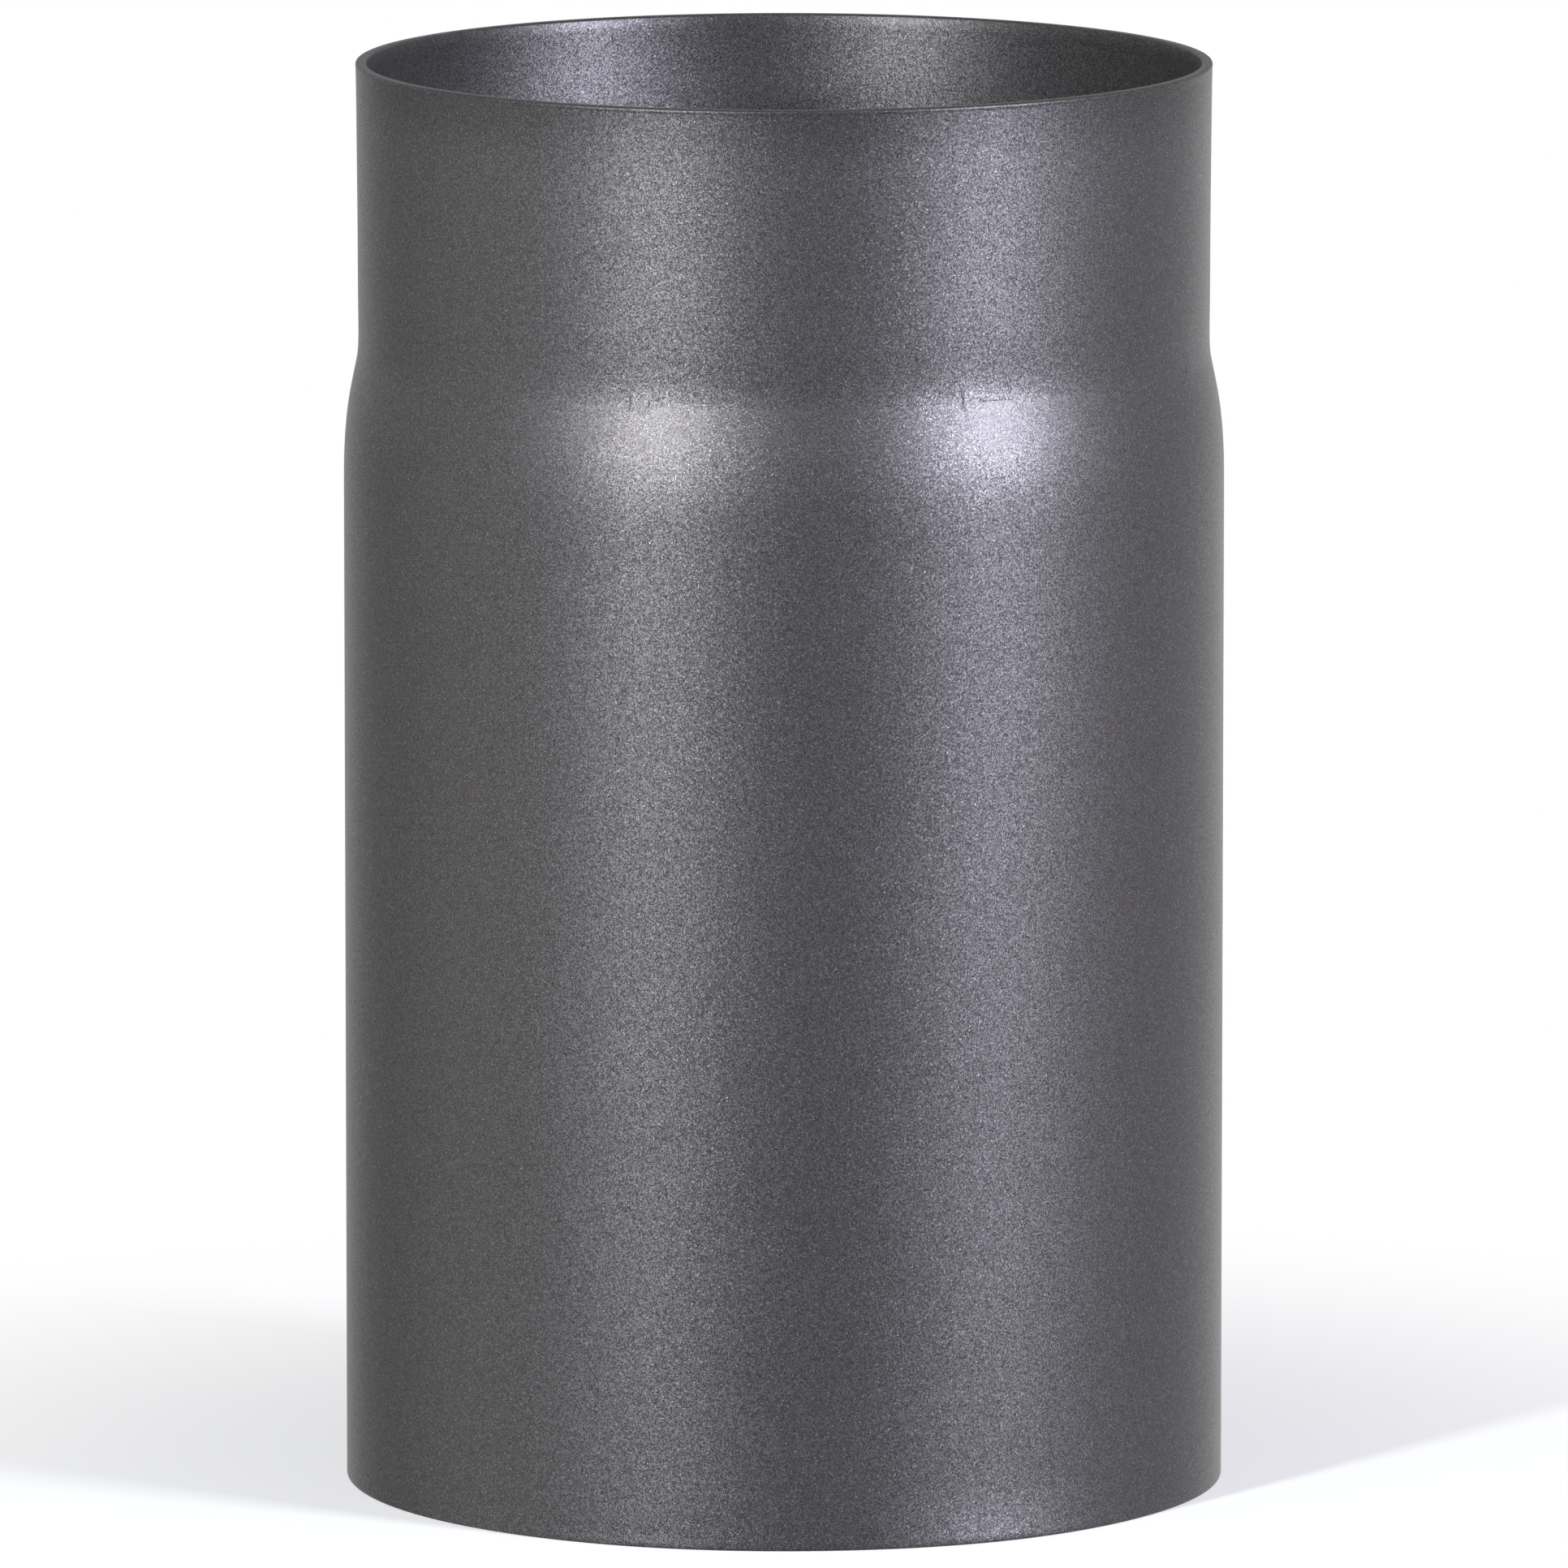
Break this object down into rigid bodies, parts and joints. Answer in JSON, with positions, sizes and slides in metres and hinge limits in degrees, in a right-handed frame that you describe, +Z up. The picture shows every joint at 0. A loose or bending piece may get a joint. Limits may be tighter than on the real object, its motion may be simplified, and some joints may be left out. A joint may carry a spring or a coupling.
{
  "type": "stove pipe",
  "caption": "Straight round flue pipe of painted sheet steel that carries stove smoke; a necked-in spigot plugs into the plain end of the next pipe.",
  "frame": {"origin": "centre of the plain lower end, in the plane of that end", "axes": "+Z up the pipe's axis from the plain end to the spigot; +X and +Y across the pipe, with the picture taken from the -Y side"},
  "size_m": [0.154, 0.154, 0.25],
  "materials": {
    "stove_paint": "cast-grey metallic stove paint, sprayed and baked, satin with a fine sparkle"
  },
  "bodies": {
    "root": {"stove_pipe": "stove_paint"}
  },
  "joints": []
}
